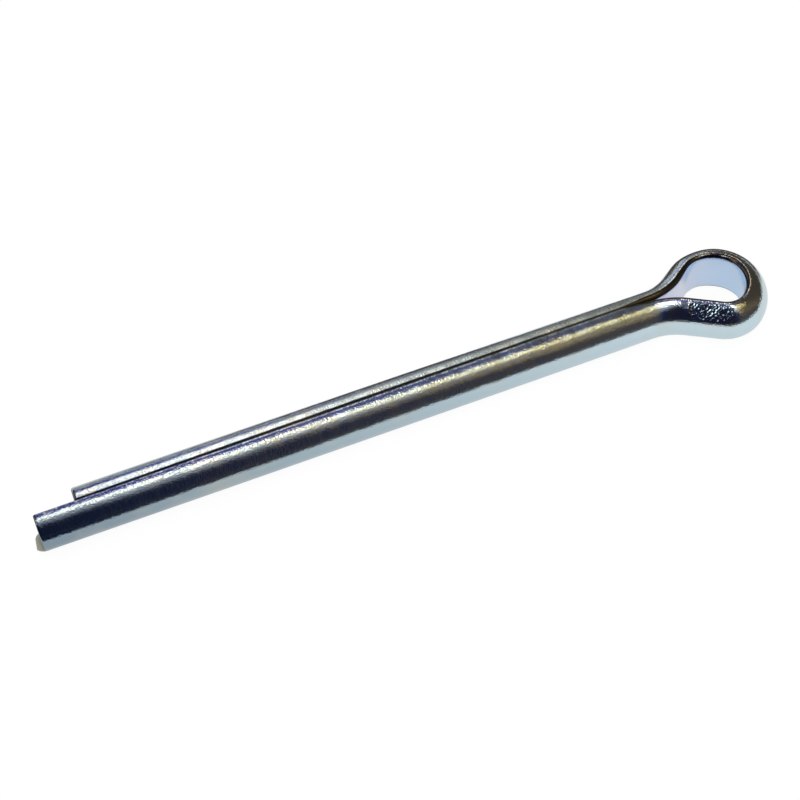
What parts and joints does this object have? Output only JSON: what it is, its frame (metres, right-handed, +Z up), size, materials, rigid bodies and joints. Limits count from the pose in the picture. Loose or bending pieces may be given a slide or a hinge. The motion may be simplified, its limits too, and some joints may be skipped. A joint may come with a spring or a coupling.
{
  "type": "cotter pin",
  "caption": "Long-prong cotter pin bent from half-round zinc-plated steel wire, with an open eye at one end and sheared tips at the other; it locks a pin or a castle nut.",
  "frame": {"origin": "on the shank's axis, where the straight prongs end and the eye begins", "axes": "+X along the shank from the tips towards the eye, +Y from the long prong to the short prong, +Z up, along the hole of the eye"},
  "size_m": [0.0743, 0.0105, 0.0044],
  "materials": {
    "zinc_plated_steel": "bright zinc plating with a blue to gold tint and a fine orange-peel grain"
  },
  "bodies": {
    "root": {"cotter_pin": "zinc_plated_steel"}
  },
  "joints": []
}
